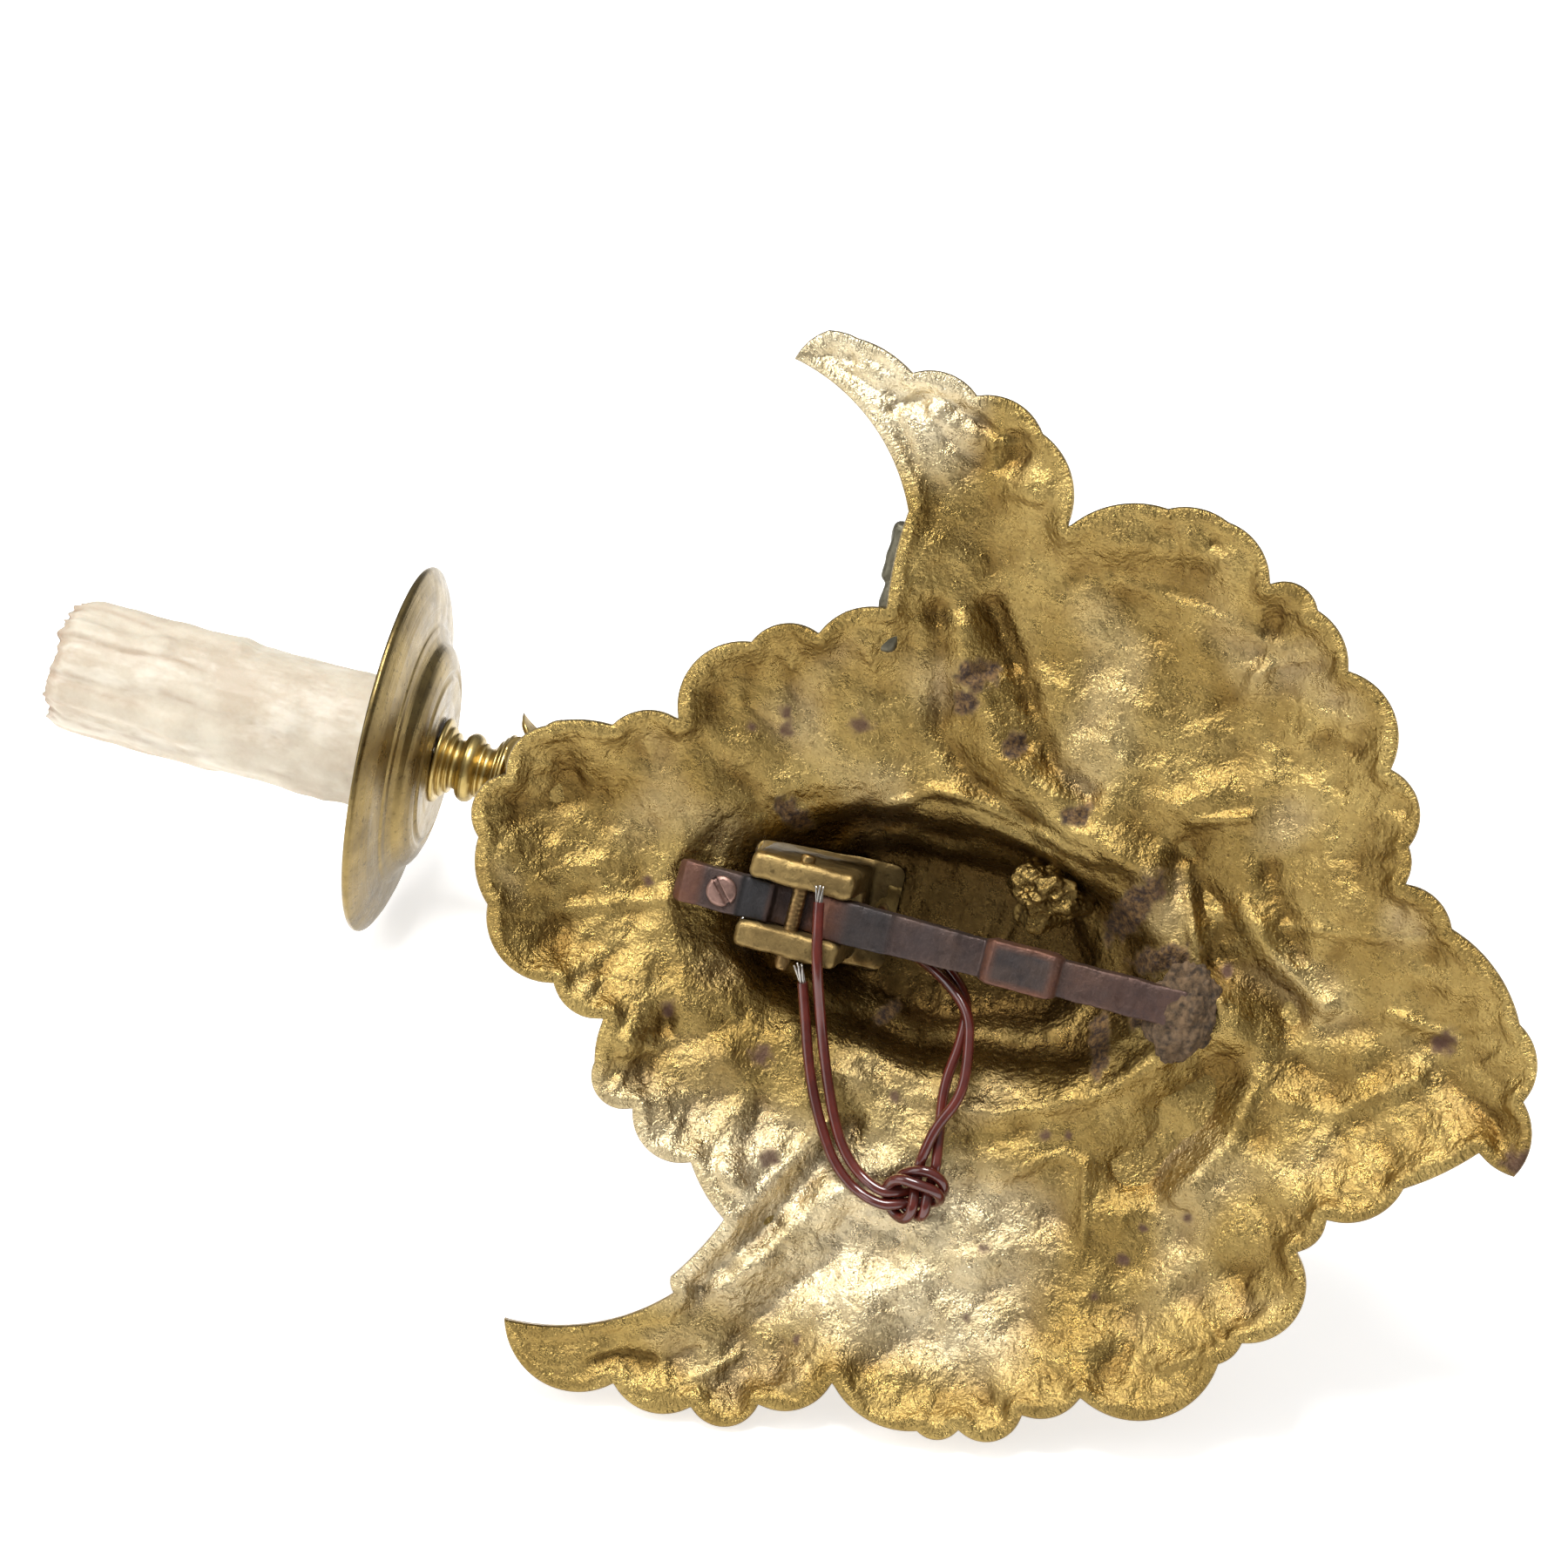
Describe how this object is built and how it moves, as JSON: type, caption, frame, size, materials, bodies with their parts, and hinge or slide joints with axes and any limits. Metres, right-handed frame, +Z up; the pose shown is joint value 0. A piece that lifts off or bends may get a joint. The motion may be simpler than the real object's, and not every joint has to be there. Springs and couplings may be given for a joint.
{
  "type": "electrified candle wall sconce",
  "caption": "Wall sconce: scalloped rococo backplate, curved arm pinned through it to an iron bar, drip pan and electric candle with lift-off sleeve, knotted supply leads behind.",
  "frame": {"origin": "the point of the wall plane straight behind the pin that locks the arm's fork over the iron bar", "axes": "+Z up, the wall is the plane Y = 0 with +Y pointing into it, the arm and candle stand out towards -Y"},
  "size_m": [0.1856, 0.1455, 0.2887],
  "materials": {
    "gilt_casting": "gilded sand-cast brass, rough on the back, olive-gold with brown stains",
    "gilt_arm": "gilded brass, worn",
    "forged_iron": "forged iron, dark brown scale with rust",
    "rusty_screw": "steel, red-brown tarnish",
    "filler": "brown porous filler",
    "brass_pin": "drawn brass, tarnished",
    "turned_brass": "turned brass, aged",
    "spun_brass": "spun brass, aged olive lacquer",
    "plated_steel": "zinc plated",
    "holder_plastic": "moulded ivory",
    "contact_brass": "stamped, bright",
    "candle_resin": "cream-pink wax-look, aged",
    "wire_insulation": "glossy red-brown PVC",
    "tinned_copper": "tinned strands"
  },
  "bodies": {
    "sconce": {"backplate": "gilt_casting", "iron_crossbar": "forged_iron", "crossbar_screw": "rusty_screw", "lower_end_filler": "filler", "arm": "gilt_arm", "arm_leaf_collar": "gilt_arm", "turned_stem": "turned_brass", "drip_pan": "spun_brass", "threaded_nipple": "plated_steel", "lock_nut": "turned_brass", "lampholder_cap": "holder_plastic", "lampholder_body": "holder_plastic", "lampholder_shell": "contact_brass", "centre_contact": "contact_brass", "terminal_screws": "plated_steel", "wire_a_inside": "wire_insulation", "wire_b_inside": "wire_insulation", "wire_a_lead": "wire_insulation", "wire_b_lead": "wire_insulation", "wire_knot": "wire_insulation", "wire_a_tail": "wire_insulation", "wire_b_tail": "wire_insulation", "wire_a_strands": "tinned_copper", "wire_b_strands": "tinned_copper"},
    "sleeve": {"candle_sleeve": "candle_resin"},
    "pin": {"cotter_pin": "brass_pin"}
  },
  "joints": [
    {"name": "sleeve_lift", "type": "slide", "parent": "sconce", "child": "sleeve", "axis": [0, 0, 1], "range_m": [0, 0.075]},
    {"name": "pin_withdraw", "type": "slide", "parent": "sconce", "child": "pin", "axis": [-1, 0, 0], "range_m": [0, 0.02]}
  ]
}
